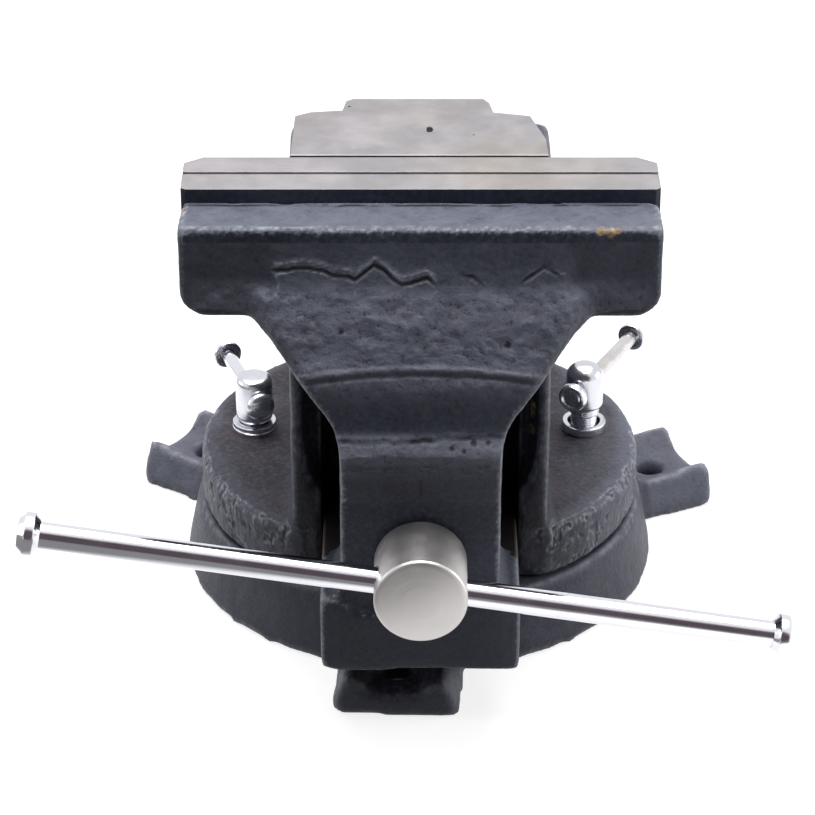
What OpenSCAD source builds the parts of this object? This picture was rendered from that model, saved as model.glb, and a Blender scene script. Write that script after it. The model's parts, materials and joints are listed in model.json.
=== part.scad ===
/* Bench vise on a swivel base, jaws closed.
   Millimetres. The origin is on the bench under the swivel axis, Z is up,
   the jaws open towards -Y and the jaw width runs along X. */

/* [Jaws] */
// Width of both jaws
jaw_w = 200; // [190:2:206]
// Height of the jaw tops above the bench
jaw_top = 233; // [228:1:240]
// Where the two jaws meet, measured from the swivel axis
parting_y = -83; // [-84:0.5:-82]
// Thickness of each jaw plate
plate_t = 15.8; // [12:0.2:16]
// Height of each jaw plate
plate_h = 33; // [28:1:35]
// How far the castings stop below the jaw tops
plate_proud = 6; // [4:0.5:8]

/* [Slide and screw] */
// Width of the slide bar
slide_w = 85.6; // [80:0.4:86]
// Top of the slide bar above the bench
slide_top = 64.4; // [62:0.2:64.4]
// Rear end of the slide bar with the jaws closed
slide_end = 150; // [130:5:170]
// Height of the screw axis above the bench
screw_z = 83.4; // [83:0.2:85]
// Diameter of the screw
screw_d = 26; // [22:0.5:26]
// Diameter of the screw head
head_d = 39.4; // [36:0.2:42]
// Front face of the screw head
head_front = -184.6; // [-190:0.2:-183]

/* [Handle] */
// Diameter of the handle bar
handle_d = 11.5; // [10:0.5:13]
// Length between the outer faces of the handle caps
handle_l = 329; // [280:1:340]
// Tilt of the handle bar in its rest position, in degrees
handle_tilt = 9.06; // [0:0.01:30]
// How far the bar has slid towards its raised end
handle_slid = 5; // [0:1:60]

/* [Swivel base] */
// Radius of the base at the bench
base_r = 110; // [106:1:112]
// Radius of the base at its top
base_top_r = 103; // [101:1:104]
// Height of the base
base_h = 33; // [32.6:0.1:33]
// Radius of the body flange
flange_r = 101.5; // [98:0.5:103]
// Top of the body flange above the bench
flange_top = 60; // [58:0.5:62]
// Turn of the base against the jaws, in degrees
base_turn = -4.4; // [-30:0.1:30]
// Radius of the circle that the bench bolts sit on
bolt_circle_r = 125; // [122:0.5:128]
// Diameter of the bench bolt holes
bench_hole_d = 14; // [10:0.5:16]
// Reach of the three base ears
ear_reach = 146; // [142:1:150]

/* [Lock bolts] */
// Distance of each lock bolt from the centre plane
lock_x = 77; // [75:0.5:79]
// Lock bolt distance behind the swivel axis
lock_y = 6.5; // [2:0.5:10]
// Diameter of the lock bolt shank
lock_d = 12; // [10:0.5:12]
// Diameter of the lock bolt head
lock_head_d = 17.2; // [15:0.2:18]
// Length of the left lock bar between knob faces
left_bar_l = 61; // [50:1:80]
// Length of the right lock bar between knob faces
right_bar_l = 73; // [50:1:80]
// Direction of the left lock bar, in degrees
left_bar_dir = 109; // [95:1:120]
// Direction of the right lock bar, in degrees
right_bar_dir = 63; // [55:1:80]

/* [Hidden] */
$fn = 96;

iron = [0.17, 0.18, 0.20];
steel = [0.62, 0.60, 0.55];
nickel = [0.72, 0.70, 0.66];
chrome = [0.82, 0.83, 0.85];
dark_steel = [0.30, 0.30, 0.31];
bronze = [0.60, 0.47, 0.25];

// Clearances: a running fit, a plain gap between bodies, a drilled fixing
run = 0.05;
gap = 0.4;
drill = 0.1;
// Overlap that keeps a cut from stopping exactly on a face
cut = 1;

body_z = base_h + gap;
body_hw = 57;
body_front = -84;
body_rear = 88;
house_top = 116;
bay_hw = 43.6;
bay_rear = -50;
bay_top = 136;
bay_floor = 38.2;
rebate_hw = 51;
rebate_z = 78;
rebate_deep = 9;
web_rear = -4;
slide_bottom = 38.6;
plate_z = jaw_top - plate_h;
casting_top = jaw_top - plate_proud;
fixed_back = parting_y + 0.1 + plate_t;
moving_back = parting_y - 0.1 - plate_t;
jaw_rear = -85.6;
jaw_front = -124.5;
jaw_under = 190;
// Neck seen from the front: half width at the screw panel, height where its flank starts,
// half width where the flank meets the underside of the head, and the fillets at both ends
neck_half = 34;
flank_foot = 142.5;
flank_foot_r = 30;
flank_root = 70;
flank_root_r = 32;
neck_root_half = 98;
panel_y = -149.5;
block_front = -151;
block_rear = -113;
block_bottom = 26.5;
spigot_r = 25;
spigot_z = 20;
pit_r = 20;
pit_top = 12;
groove_in = 62;
groove_out = 92;
slot_in = 70;
slot_out = 85;
groove_z = 10;
lip_z = 23;
ear_hw = 22;
ear_foot_hw = 29.5;
ear_top = 18.5;
ear_floor = 12;
ear_corner = 6;
screw_end = 154;
hole_y = -170.6;
nut_hw = 21.9;
nut_bottom = 65.2;
nut_top = 102.8;
nut_rear = -4.4;
keeper_t = 6;
keeper_hw = 36;
plate_screw_x = 60;
plate_screw_z = jaw_top - 17;
plate_screw_r = 5;
plate_head_r = 8;
plate_head_t = 8;
keeper_screw_x = 29;
collar_r = 17.5;
cap_r = 9.2;
cap_l = 9.4;
bar_d = 6.8;
knob_r = 6.7;
knob_l = 4.6;
washer_t = 4.4;
washer_r = 10.4;
left_bar_z = flange_top + 16.5;
right_bar_z = flange_top + 22.5;
left_near = 13.5;
right_near = 15.5;
nut_half = 12.4;

// ---------- helpers ----------

// A cylinder along Y from y0 to y1, at height z
module rod_y(r, y0, y1, z, x = 0) {
    translate([x, y1, z]) rotate([90, 0, 0]) cylinder(r = r, h = y1 - y0);
}

// A block given by its two corners
module block(a, b) {
    translate(a) cube(b - a);
}

// Revolves a profile of [radius, distance] points about the screw axis
module turned_y(points, z) {
    translate([0, 0, z]) rotate([90, 0, 0]) rotate_extrude() polygon(points);
}

// A ring about Z
module ring_z(r_in, r_out, z0, z1) {
    difference() {
        translate([0, 0, z0]) cylinder(r = r_out, h = z1 - z0);
        translate([0, 0, z0 - cut]) cylinder(r = r_in, h = z1 - z0 + 2 * cut);
    }
}

// Half width of a jaw casting above its neck, as a quarter-round flare
function flare(t, hw0, hw1) = hw0 + (hw1 - hw0) * (1 - cos(90 * t));

// Points of the fillet of radius r in the corner b of the line a, b, c
function round_corner(a, b, c, r, steps = 6) =
    let (u = (a - b) / norm(a - b), v = (c - b) / norm(c - b), half = acos(u * v) / 2,
         centre = b + (u + v) / norm(u + v) * r / sin(half),
         first = b + u * r / tan(half), last = b + v * r / tan(half))
    [for (i = [0:steps])
        let (out = first + (last - first) * i / steps - centre) centre + out / norm(out) * r];

// ---------- swivel base ----------

module ear() {
    side = [[-ear_foot_hw, 0], [-ear_hw, ear_top], [-15, ear_top], [-13, ear_floor],
            [13, ear_floor], [15, ear_top], [ear_hw, ear_top], [ear_foot_hw, 0]];
    difference() {
        intersection() {
            translate([97, 0, 0]) rotate([90, 0, 90]) linear_extrude(ear_reach - 97) polygon(side);
            linear_extrude(ear_top + cut) union() {
                translate([90, -ear_foot_hw]) square([ear_reach - 90 - ear_corner, 2 * ear_foot_hw]);
                translate([90, -ear_foot_hw + ear_corner])
                    square([ear_reach - 90, 2 * (ear_foot_hw - ear_corner)]);
                for (s = [-1, 1]) {
                    translate([ear_reach - ear_corner, s * (ear_foot_hw - ear_corner)]) circle(r = ear_corner);
                }
            }
        }
        translate([bolt_circle_r, 0, -cut]) cylinder(d = bench_hole_d, h = ear_top + 2 * cut);
    }
}

module swivel_base() {
    wall = [[spigot_r + run, pit_top], [spigot_r + run, base_h], [slot_in, base_h], [slot_in, lip_z],
            [groove_in, lip_z], [groove_in, groove_z], [groove_out, groove_z], [groove_out, lip_z],
            [slot_out, lip_z], [slot_out, base_h], [base_top_r, base_h], [base_r, 0],
            [98, 0], [98, 4], [34, 4], [34, 0], [pit_r, 0], [pit_r, pit_top]];
    color(iron) rotate([0, 0, base_turn]) {
        rotate_extrude($fn = 128) polygon(wall);
        difference() {
            translate([0, 0, pit_top]) cylinder(r = spigot_r + 3, h = 7.6);
            translate([0, 0, pit_top - cut]) cylinder(r = 9, h = 12);
        }
        for (a = [-90, 30, 150]) rotate([0, 0, a]) ear();
    }
}

// ---------- body ----------

// Side outline of the body: front face, jaw seat, back of the column, tail
module body_side() {
    polygon([[body_front, body_z], [body_front, plate_z], [fixed_back, plate_z],
             [fixed_back, jaw_top - 11], [-4, jaw_top - 11], [-2, 190], [8, 150], [26, house_top],
             [74, 108], [body_rear, 98], [body_rear, 58], [body_rear - 8, body_z]]);
}

// Front outline of the fixed jaw and its flare down to the column
module fixed_flare() {
    hw = jaw_w / 2 - 2;
    left = [for (i = [0:8]) [-flare(i / 8, body_hw, hw), 146 + 44 * sin(90 * i / 8)]];
    right = [for (i = [8:-1:0]) [flare(i / 8, body_hw, hw), 146 + 44 * sin(90 * i / 8)]];
    polygon(concat(left, [[-hw, jaw_top - 11], [hw, jaw_top - 11]], right));
}

module vise_body() {
    color(iron) difference() {
        union() {
            difference() {
                translate([0, 0, body_z]) cylinder(r = flange_r, h = flange_top - body_z);
                block([-body_hw, -flange_r - cut, body_z - cut], [body_hw, body_front, flange_top + cut]);
            }
            translate([0, 0, spigot_z]) cylinder(r = spigot_r, h = body_z - spigot_z + cut);
            translate([-body_hw, 0, 0]) rotate([90, 0, 90]) linear_extrude(2 * body_hw) body_side();
            intersection() {
                translate([0, -50, 0]) rotate([90, 0, 0]) linear_extrude(60) fixed_flare();
                rotate([90, 0, 90]) translate([0, 0, -jaw_w])
                    linear_extrude(2 * jaw_w)
                    polygon([[body_front, 140], [body_front, plate_z], [fixed_back, plate_z],
                             [fixed_back, jaw_top - 11], [-54, jaw_top - 11], [-50, 200], [-50, 140]]);
            }
        }
        // front bay, its stepped mouth and the way for the slide
        block([-bay_hw, body_front - cut, bay_floor], [bay_hw, bay_rear, bay_top]);
        block([-rebate_hw, body_front - cut, rebate_z], [rebate_hw, body_front + rebate_deep, bay_top]);
        block([-slide_w / 2 - 0.5, body_front - cut, bay_floor],
              [slide_w / 2 + 0.5, flange_r + cut, slide_top + 0.5]);
        // seat of the nut, and the rear bay that the screw runs through
        block([-nut_hw - drill, bay_rear - cut, slide_top], [nut_hw + drill, web_rear + cut, nut_top + drill]);
        block([-40, web_rear, slide_top], [40, body_rear + cut, 104]);
        for (s = [-1, 1]) {
            rod_y(4 + drill, -18, web_rear + cut, screw_z, s * keeper_screw_x);
            rod_y(plate_screw_r + drill, -68, -52, plate_screw_z, s * plate_screw_x);
            translate([s * lock_x, lock_y, body_z - cut])
                cylinder(r = lock_d / 2 + run, h = flange_top - body_z + 2 * cut);
        }
        translate([0, 0, spigot_z - cut]) cylinder(r = 8 + drill, h = 22);
    }
}

module anvil_block() {
    top = [[-55.5, -65], [-54.5, -24], [-48, -20], [-34, -18], [-32.5, -8], [-29.5, -5.5],
           [28, -5.5], [30.5, -10], [32, -20], [48, -24], [54, -48], [54.5, -65]];
    color(steel) translate([0, 0, jaw_top - 11]) linear_extrude(11) polygon(top);
}

// ---------- jaw plates and their screws ----------

// Plan of a jaw plate, its outer corners cut back; the face is at y = 0
module plate_plan(corner) {
    hw = jaw_w / 2;
    polygon([[-hw, 0], [-hw, plate_t - corner * 0.7], [-hw + corner, plate_t], [hw - corner, plate_t],
             [hw, plate_t - corner * 0.7], [hw, 0]]);
}

module jaw_plate(corner) {
    difference() {
        translate([0, 0, plate_z]) linear_extrude(plate_h) plate_plan(corner);
        for (s = [-1, 1]) {
            rod_y(plate_screw_r + drill, -cut, plate_t + cut, plate_screw_z, s * plate_screw_x);
            rod_y(plate_head_r + drill, -cut, plate_head_t + 1.5, plate_screw_z, s * plate_screw_x);
        }
    }
}

// Socket head screw with its head towards y = 0
module plate_screw(s) {
    difference() {
        union() {
            rod_y(plate_head_r, 1.5, 1.4 + plate_head_t, plate_screw_z, s * plate_screw_x);
            rod_y(plate_screw_r, 1.5, plate_t + 11, plate_screw_z, s * plate_screw_x);
        }
        translate([s * plate_screw_x, 6, plate_screw_z]) rotate([90, 0, 0]) cylinder(r = 4.6, h = 6, $fn = 6);
    }
}

module fixed_jaw_plate() {
    color(steel) translate([0, parting_y + 0.1, 0]) jaw_plate(8);
}

module fixed_plate_screw_left() {
    color(dark_steel) translate([0, parting_y + 0.1, 0]) plate_screw(-1);
}

module fixed_plate_screw_right() {
    color(dark_steel) translate([0, parting_y + 0.1, 0]) plate_screw(1);
}

module moving_jaw_plate() {
    color(steel) translate([0, parting_y - 0.1, 0]) mirror([0, 1, 0]) jaw_plate(2);
}

module moving_plate_screw_left() {
    color(dark_steel) translate([0, parting_y - 0.1, 0]) mirror([0, 1, 0]) plate_screw(-1);
}

module moving_plate_screw_right() {
    color(dark_steel) translate([0, parting_y - 0.1, 0]) mirror([0, 1, 0]) plate_screw(1);
}

// ---------- nut and its keeper ----------

module main_nut() {
    color(bronze) difference() {
        block([-nut_hw, bay_rear, nut_bottom], [nut_hw, nut_rear, nut_top]);
        rod_y(screw_d / 2 + run, bay_rear - cut, nut_rear + cut, screw_z);
    }
}

module nut_keeper() {
    color(dark_steel) difference() {
        block([-keeper_hw, web_rear, nut_bottom + 1.4], [keeper_hw, web_rear + keeper_t, nut_top - 2]);
        rod_y(screw_d / 2 + 2, web_rear - cut, web_rear + keeper_t + cut, screw_z);
        for (s = [-1, 1]) rod_y(4 + drill, web_rear - cut, web_rear + keeper_t + cut, screw_z, s * keeper_screw_x);
    }
}

module keeper_screw(s) {
    color(dark_steel) {
        rod_y(4, -17, web_rear + keeper_t + 2, screw_z, s * keeper_screw_x);
        translate([s * keeper_screw_x, web_rear + keeper_t + 5.6, screw_z])
            rotate([90, 0, 0]) cylinder(r = 6.4, h = 5.5, $fn = 6);
    }
}

module nut_keeper_screw_left() {
    keeper_screw(-1);
}

module nut_keeper_screw_right() {
    keeper_screw(1);
}

// ---------- swivel pivot and lock bolts ----------

module pivot_bolt() {
    color(dark_steel) {
        translate([0, 0, 1]) cylinder(r = 13.8, h = 8.2, $fn = 6);
        translate([0, 0, 5]) cylinder(r = 8, h = 31);
    }
}

module pivot_washer() {
    color(dark_steel) ring_z(8 + drill, 15.5, 9.2, 11.6);
}

module lock_washer(s) {
    color(chrome) translate([s * lock_x, lock_y, 0])
        ring_z(lock_d / 2 + 1.4, washer_r, flange_top, flange_top + washer_t);
}

module lock_washer_left() {
    lock_washer(-1);
}

module lock_washer_right() {
    lock_washer(1);
}

// Square nut that rides in the ring groove of the base
module lock_nut(s) {
    color(dark_steel) translate([s * lock_x, lock_y, 0]) difference() {
        block([-nut_half, -nut_half, 13], [nut_half, nut_half, lip_z - gap]);
        translate([0, 0, 12]) cylinder(r = lock_d / 2 + run, h = 12);
    }
}

module lock_nut_left() {
    lock_nut(-1);
}

module lock_nut_right() {
    lock_nut(1);
}

// Lock bolt with a cross hole for its bar; the bolt axis is the local Z axis
module lock_bolt(bar_z, dir) {
    foot = bar_z - 13.6;
    shape = [[0, foot - 49], [lock_d / 2, foot - 49], [lock_d / 2, foot], [7, foot], [7, foot + 3],
             [lock_head_d / 2, foot + 4], [lock_head_d / 2, bar_z + 6.5],
             [lock_head_d / 2 - 2.6, bar_z + 10], [4, bar_z + 11.4], [0, bar_z + 11.8]];
    color(chrome) difference() {
        rotate_extrude() polygon(shape);
        translate([0, 0, bar_z]) rotate([0, 90, dir]) translate([0, 0, -15])
            cylinder(d = bar_d + 2 * run, h = 30);
    }
}

module lock_bolt_left() {
    translate([-lock_x, lock_y, 0]) lock_bolt(left_bar_z, left_bar_dir);
}

module lock_bolt_right() {
    translate([lock_x, lock_y, 0]) lock_bolt(right_bar_z, right_bar_dir);
}

// Part of a lock bar: a cylinder from a to b along the bar, both measured from the bolt axis
module along_bar(side, bar_z, dir, d, a, b) {
    color(chrome) translate([side * lock_x, lock_y, bar_z]) rotate([0, 90, dir]) translate([0, 0, a])
        cylinder(d = d, h = b - a);
}

// A knob on a lock bar, drilled to take the bar
module bar_knob(side, bar_z, dir, a, b) {
    difference() {
        along_bar(side, bar_z, dir, 2 * knob_r, a, b);
        along_bar(side, bar_z, dir, bar_d + 2 * drill, a - cut, b + cut);
    }
}

module lock_bar_left() {
    along_bar(-1, left_bar_z, left_bar_dir, bar_d, -left_near, left_bar_l - left_near);
}

module lock_knob_left_near() {
    bar_knob(-1, left_bar_z, left_bar_dir, -left_near, knob_l - left_near);
}

module lock_knob_left_far() {
    bar_knob(-1, left_bar_z, left_bar_dir, left_bar_l - left_near - knob_l, left_bar_l - left_near);
}

module lock_bar_right() {
    along_bar(1, right_bar_z, right_bar_dir, bar_d, -right_near, right_bar_l - right_near);
}

module lock_knob_right_near() {
    bar_knob(1, right_bar_z, right_bar_dir, -right_near, knob_l - right_near);
}

module lock_knob_right_far() {
    bar_knob(1, right_bar_z, right_bar_dir, right_bar_l - right_near - knob_l, right_bar_l - right_near);
}

// ---------- movable jaw ----------

// Front outline of the neck, from the slide up to the jaw
module neck_front() {
    foot = [neck_half, flank_foot];
    root = [flank_root, jaw_under];
    low = [neck_half, 50];
    half = concat([low], round_corner(low, foot, root, flank_foot_r),
                  round_corner(foot, root, [neck_root_half, jaw_under], flank_root_r),
                  [[neck_root_half, jaw_under], [neck_root_half, jaw_under + 8]]);
    polygon(concat(half, [for (i = [len(half) - 1:-1:0]) [-half[i][0], half[i][1]]]));
}

// Side outline of the neck: rear face, jaw front, ridge and screw panel
module neck_side() {
    polygon([[jaw_rear, 50], [jaw_rear, plate_z - gap], [-100, plate_z - gap], [-100, casting_top],
             [-122, casting_top - 1], [jaw_front, casting_top - 4], [-126.5, 212], [-131, 200],
             [-140, 180], [-146, 166], [-148, 144], [-152, 139], [-153.5, 132], [-152, 122],
             [panel_y, 115], [panel_y, 50]]);
}

module movable_jaw() {
    hw = jaw_w / 2;
    color(iron) difference() {
        union() {
            block([-43, block_front, block_bottom], [43, block_rear, slide_top]);
            block([-slide_w / 2, block_rear - cut, slide_bottom], [slide_w / 2, slide_end, slide_top]);
            intersection() {
                rotate([90, 0, 0]) linear_extrude(170) neck_front();
                translate([-hw, 0, 0]) rotate([90, 0, 90]) linear_extrude(2 * hw) neck_side();
            }
            intersection() {
                translate([-hw, 0, 0]) rotate([90, 0, 90]) linear_extrude(2 * hw) neck_side();
                block([-60, -150, 180], [60, -90, casting_top]);
            }
            // the jaw head, its lower front corners cut back
            rotate([90, 0, 0]) translate([0, 0, -moving_back]) linear_extrude(moving_back - jaw_front)
                polygon([[-hw, jaw_under + 4], [-hw + 8, jaw_under - 4], [hw - 8, jaw_under - 4],
                         [hw, jaw_under + 4], [hw, casting_top], [-hw, casting_top]]);
            block([-hw, moving_back - cut, jaw_under + 2], [hw, jaw_rear, plate_z - gap]);
        }
        rod_y(screw_d / 2 + run, -170, -80, screw_z);
        // spot face behind the screw head
        rod_y(head_d / 2 + gap, -170, panel_y, screw_z);
        for (s = [-1, 1]) rod_y(plate_screw_r + drill, -112, -95, plate_screw_z, s * plate_screw_x);
    }
}

// ---------- screw, spring, collar and handle ----------

module main_screw() {
    head_back = -panel_y + gap;
    front = -head_front;
    shape = [[0, -screw_end], [screw_d / 2 - 2, -screw_end], [screw_d / 2, 3 - screw_end],
             [screw_d / 2, head_back], [head_d / 2 - 1, head_back], [head_d / 2, head_back + 1],
             [head_d / 2, front - 0.9], [head_d / 2 - 0.9, front], [0, front]];
    color(nickel) difference() {
        turned_y(shape, screw_z);
        translate([0, hole_y, screw_z]) rotate([0, 90 + handle_tilt, 0]) translate([0, 0, -30])
            cylinder(d = handle_d + 2 * run, h = 60);
        translate([0, -76, screw_z - 20]) cylinder(r = 2.5 + run, h = 40);
    }
}

// Dished ring that takes up the play between the jaw and the collar
module disc_spring() {
    near = -jaw_rear - 0.3;
    color(dark_steel) turned_y([[screw_d / 2 + drill, near - 3.2], [screw_d / 2 + 2, near - 3.2],
                                [17, near - 1.2], [17, near], [16, near], [screw_d / 2 + drill, near - 1.6]],
                               screw_z);
}

module screw_collar() {
    color(dark_steel) difference() {
        rod_y(collar_r, -82, -70, screw_z);
        rod_y(screw_d / 2 + drill, -83, -69, screw_z);
        translate([0, -76, screw_z - 20]) cylinder(r = 2.5 + run, h = 40);
    }
}

module collar_pin() {
    color(chrome) translate([0, -76, screw_z - 16.5]) cylinder(r = 2.5, h = 33);
}

// Part of the handle: a cylinder between a and b along the bar, from the middle of the bar
module along_handle(d, a, b) {
    translate([0, hole_y, screw_z]) rotate([0, 90 + handle_tilt, 0]) translate([0, 0, a - handle_slid])
        cylinder(d = d, h = b - a);
}

module handle_bar() {
    color(chrome) along_handle(handle_d, 2 - handle_l / 2, handle_l / 2 - 2);
}

// Cap on a handle end: side is -1 for the raised end, 1 for the low end
module handle_cap(side) {
    inner = handle_l / 2 - cap_l;
    color(chrome) difference() {
        if (side < 0) along_handle(2 * cap_r, -handle_l / 2, -inner);
        else along_handle(2 * cap_r, inner, handle_l / 2);
        along_handle(handle_d + 2 * drill, 1.9 - handle_l / 2, handle_l / 2 - 1.9);
    }
}

module handle_cap_left() {
    handle_cap(-1);
}

module handle_cap_right() {
    handle_cap(1);
}

swivel_base();
vise_body();
anvil_block();
fixed_jaw_plate();
fixed_plate_screw_left();
fixed_plate_screw_right();
main_nut();
nut_keeper();
nut_keeper_screw_left();
nut_keeper_screw_right();
pivot_bolt();
pivot_washer();
lock_washer_left();
lock_washer_right();
lock_nut_left();
lock_nut_right();
movable_jaw();
moving_jaw_plate();
moving_plate_screw_left();
moving_plate_screw_right();
main_screw();
disc_spring();
screw_collar();
collar_pin();
handle_bar();
handle_cap_left();
handle_cap_right();
lock_bolt_left();
lock_bolt_right();
lock_bar_left();
lock_knob_left_near();
lock_knob_left_far();
lock_bar_right();
lock_knob_right_near();
lock_knob_right_far();
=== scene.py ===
"""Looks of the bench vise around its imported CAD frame. Lengths are millimetres until a mesh is made."""

import json
import math

import bmesh
import bpy
import numpy as np
from mathutils import Matrix, Vector

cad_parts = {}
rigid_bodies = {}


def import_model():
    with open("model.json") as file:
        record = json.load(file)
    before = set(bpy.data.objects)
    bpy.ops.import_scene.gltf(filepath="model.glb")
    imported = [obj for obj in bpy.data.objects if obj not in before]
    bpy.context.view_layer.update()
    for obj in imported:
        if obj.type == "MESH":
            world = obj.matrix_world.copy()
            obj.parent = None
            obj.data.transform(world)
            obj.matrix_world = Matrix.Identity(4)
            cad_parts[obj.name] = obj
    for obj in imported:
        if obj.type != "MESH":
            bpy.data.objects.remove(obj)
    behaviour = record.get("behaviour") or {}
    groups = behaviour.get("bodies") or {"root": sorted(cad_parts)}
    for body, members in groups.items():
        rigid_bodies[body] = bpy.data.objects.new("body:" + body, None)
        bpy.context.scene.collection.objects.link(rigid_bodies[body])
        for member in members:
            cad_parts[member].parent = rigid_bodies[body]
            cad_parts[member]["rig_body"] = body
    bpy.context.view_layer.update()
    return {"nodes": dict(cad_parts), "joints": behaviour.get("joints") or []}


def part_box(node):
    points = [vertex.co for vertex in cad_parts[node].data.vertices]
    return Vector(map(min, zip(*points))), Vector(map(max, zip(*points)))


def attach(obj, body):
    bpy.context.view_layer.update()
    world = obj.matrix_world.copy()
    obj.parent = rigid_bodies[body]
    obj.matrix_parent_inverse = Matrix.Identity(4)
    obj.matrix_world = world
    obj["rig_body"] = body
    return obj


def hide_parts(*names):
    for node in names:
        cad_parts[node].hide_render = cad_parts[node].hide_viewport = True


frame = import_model()
NODES = frame["nodes"]
JOINTS = {j["name"]: j for j in frame["joints"]}
MM = 1000.0


def node_box(name):
    """Lowest and highest corner of a CAD node in millimetres."""
    lo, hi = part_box(name)
    return np.array(lo) * MM, np.array(hi) * MM


# ---------------- numbers taken from the frame

HEAD_LO, HEAD_HI = node_box("main_screw")
ANVIL_LO, ANVIL_HI = node_box("anvil_block")
PLATE_FRONT = node_box("moving_jaw_plate")[0][1]
SCREW_Z = (HEAD_LO[2] + HEAD_HI[2]) / 2
HOLE_AT = np.array(JOINTS["screw_turn"]["pos_m"]) * MM
HANDLE_DIR = np.array(JOINTS["handle_slide"]["axis"], float)
# the base is turned this far against the jaws; its ears stand at these angles from there
BASE_TURN = -4.4
EAR_ANGLES = (-90, 30, 150)
# radius of the circle of the bench holes
BOLT_R = 125.0


# ---------------- noise and falloffs

def _hash(ix, iy, iz, seed):
    h = (ix * 374761393 + iy * 668265263 + iz * 2147483647 + seed * 144665) & 0xFFFFFFFF
    h = ((h ^ (h >> 13)) * 1274126177) & 0xFFFFFFFF
    return ((h ^ (h >> 16)) & 0xFFFF) / 32767.5 - 1.0


def noise(p, seed=0):
    """Smooth value noise in -1..1 at the rows of p."""
    q = np.floor(p).astype(np.int64)
    f = p - q
    f = f * f * f * (f * (f * 6 - 15) + 10)
    out = np.zeros(len(p))
    for dx in (0, 1):
        wx = f[:, 0] if dx else 1 - f[:, 0]
        for dy in (0, 1):
            wy = f[:, 1] if dy else 1 - f[:, 1]
            for dz in (0, 1):
                wz = f[:, 2] if dz else 1 - f[:, 2]
                out += wx * wy * wz * _hash(q[:, 0] + dx, q[:, 1] + dy, q[:, 2] + dz, seed)
    return out


def fbm(p, size, octaves=4, seed=0, gain=0.55):
    """Fractal noise whose largest feature is `size` millimetres."""
    out, amp, total = np.zeros(len(p)), 1.0, 0.0
    for k in range(octaves):
        out += amp * noise(p / size * 2.03 ** k + 17.3 * k, seed + k)
        total += amp
        amp *= gain
    return out / total


def ease(x, a, b):
    """0 below a, 1 above b, smooth between; a may be larger than b."""
    t = np.clip((x - a) / (b - a), 0, 1)
    return t * t * (3 - 2 * t)


# ---------------- mesh helpers

def new_object(name, data):
    ob = bpy.data.objects.new(name, data)
    bpy.context.scene.collection.objects.link(ob)
    return ob


def new_mesh(name, verts, faces):
    """An object from corners in millimetres and faces."""
    me = bpy.data.meshes.new(name)
    corners = [tuple(v) for v in np.asarray(verts, float) / MM]
    me.from_pydata(corners, [], [tuple(int(i) for i in f) for f in faces])
    me.validate()
    me.update()
    return new_object(name, me)


def get_co(me):
    co = np.empty(len(me.vertices) * 3)
    me.vertices.foreach_get("co", co)
    return co.reshape(-1, 3) * MM


def set_co(me, co):
    me.vertices.foreach_set("co", (co / MM).ravel())
    me.update()


def get_no(me):
    no = np.empty(len(me.vertices) * 3)
    me.vertices.foreach_get("normal", no)
    return no.reshape(-1, 3)


def get_edges(me):
    e = np.empty(len(me.edges) * 2, np.int32)
    me.edges.foreach_get("vertices", e)
    return e.reshape(-1, 2)


def cad_copy(node, name):
    """A welded copy of a CAD node's mesh with its flat faces joined up."""
    bm = bmesh.new()
    bm.from_mesh(NODES[node].data)
    bmesh.ops.remove_doubles(bm, verts=bm.verts, dist=2e-6)
    bmesh.ops.dissolve_limit(bm, angle_limit=math.radians(0.6), verts=bm.verts, edges=bm.edges)
    me = bpy.data.meshes.new(name)
    bm.to_mesh(me)
    bm.free()
    return new_object(name, me)


def bake(ob):
    """Applies an object's modifiers."""
    bpy.context.view_layer.update()
    dg = bpy.context.evaluated_depsgraph_get()
    me = bpy.data.meshes.new_from_object(ob.evaluated_get(dg))
    ob.modifiers.clear()
    old = ob.data
    ob.data = me
    bpy.data.meshes.remove(old)
    return ob


def voxel(ob, size):
    m = ob.modifiers.new("voxel", "REMESH")
    m.mode = "VOXEL"
    m.voxel_size = size / MM
    m.adaptivity = 0
    return bake(ob)


def refine(ob, where):
    """Cuts each face with all its corners inside `where` into four."""
    co = get_co(ob.data)
    inside = where(co, get_no(ob.data))
    bm = bmesh.new()
    bm.from_mesh(ob.data)
    bm.verts.ensure_lookup_table()
    edges = {e for f in bm.faces if all(inside[v.index] for v in f.verts) for e in f.edges}
    bmesh.ops.subdivide_edges(bm, edges=list(edges), cuts=1, use_grid_fill=True)
    bm.to_mesh(ob.data)
    bm.free()
    ob.data.update()


def boolean(ob, other, how="DIFFERENCE"):
    m = ob.modifiers.new("bool", "BOOLEAN")
    m.operation = how
    m.solver = "EXACT"
    m.object = other
    bake(ob)
    bpy.data.objects.remove(other)
    return ob


def bevel(ob, width, segments=2, angle=32):
    m = ob.modifiers.new("bevel", "BEVEL")
    m.width = width / MM
    m.segments = segments
    m.limit_method = "ANGLE"
    m.angle_limit = math.radians(angle)
    m.harden_normals = False
    return bake(ob)


def join(name, parts):
    """One object out of several, in one mesh."""
    bm = bmesh.new()
    for o in parts:
        bm.from_mesh(o.data)
        bpy.data.objects.remove(o)
    me = bpy.data.meshes.new(name)
    bm.to_mesh(me)
    bm.free()
    return new_object(name, me)


def shade(ob, angle=None):
    me = ob.data
    me.polygons.foreach_set("use_smooth", [True] * len(me.polygons))
    if angle:
        me.set_sharp_from_angle(angle=math.radians(angle))
        m = ob.modifiers.new("flats", "WEIGHTED_NORMAL")
        m.mode = "FACE_AREA"
        m.keep_sharp = True
        bake(ob)
    ob.data.update()
    return ob


def around(e, value):
    """Sum of a value over the neighbours of each vertex."""
    n = len(value)
    return np.bincount(e[:, 0], value[e[:, 1]], n) + np.bincount(e[:, 1], value[e[:, 0]], n)


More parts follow.
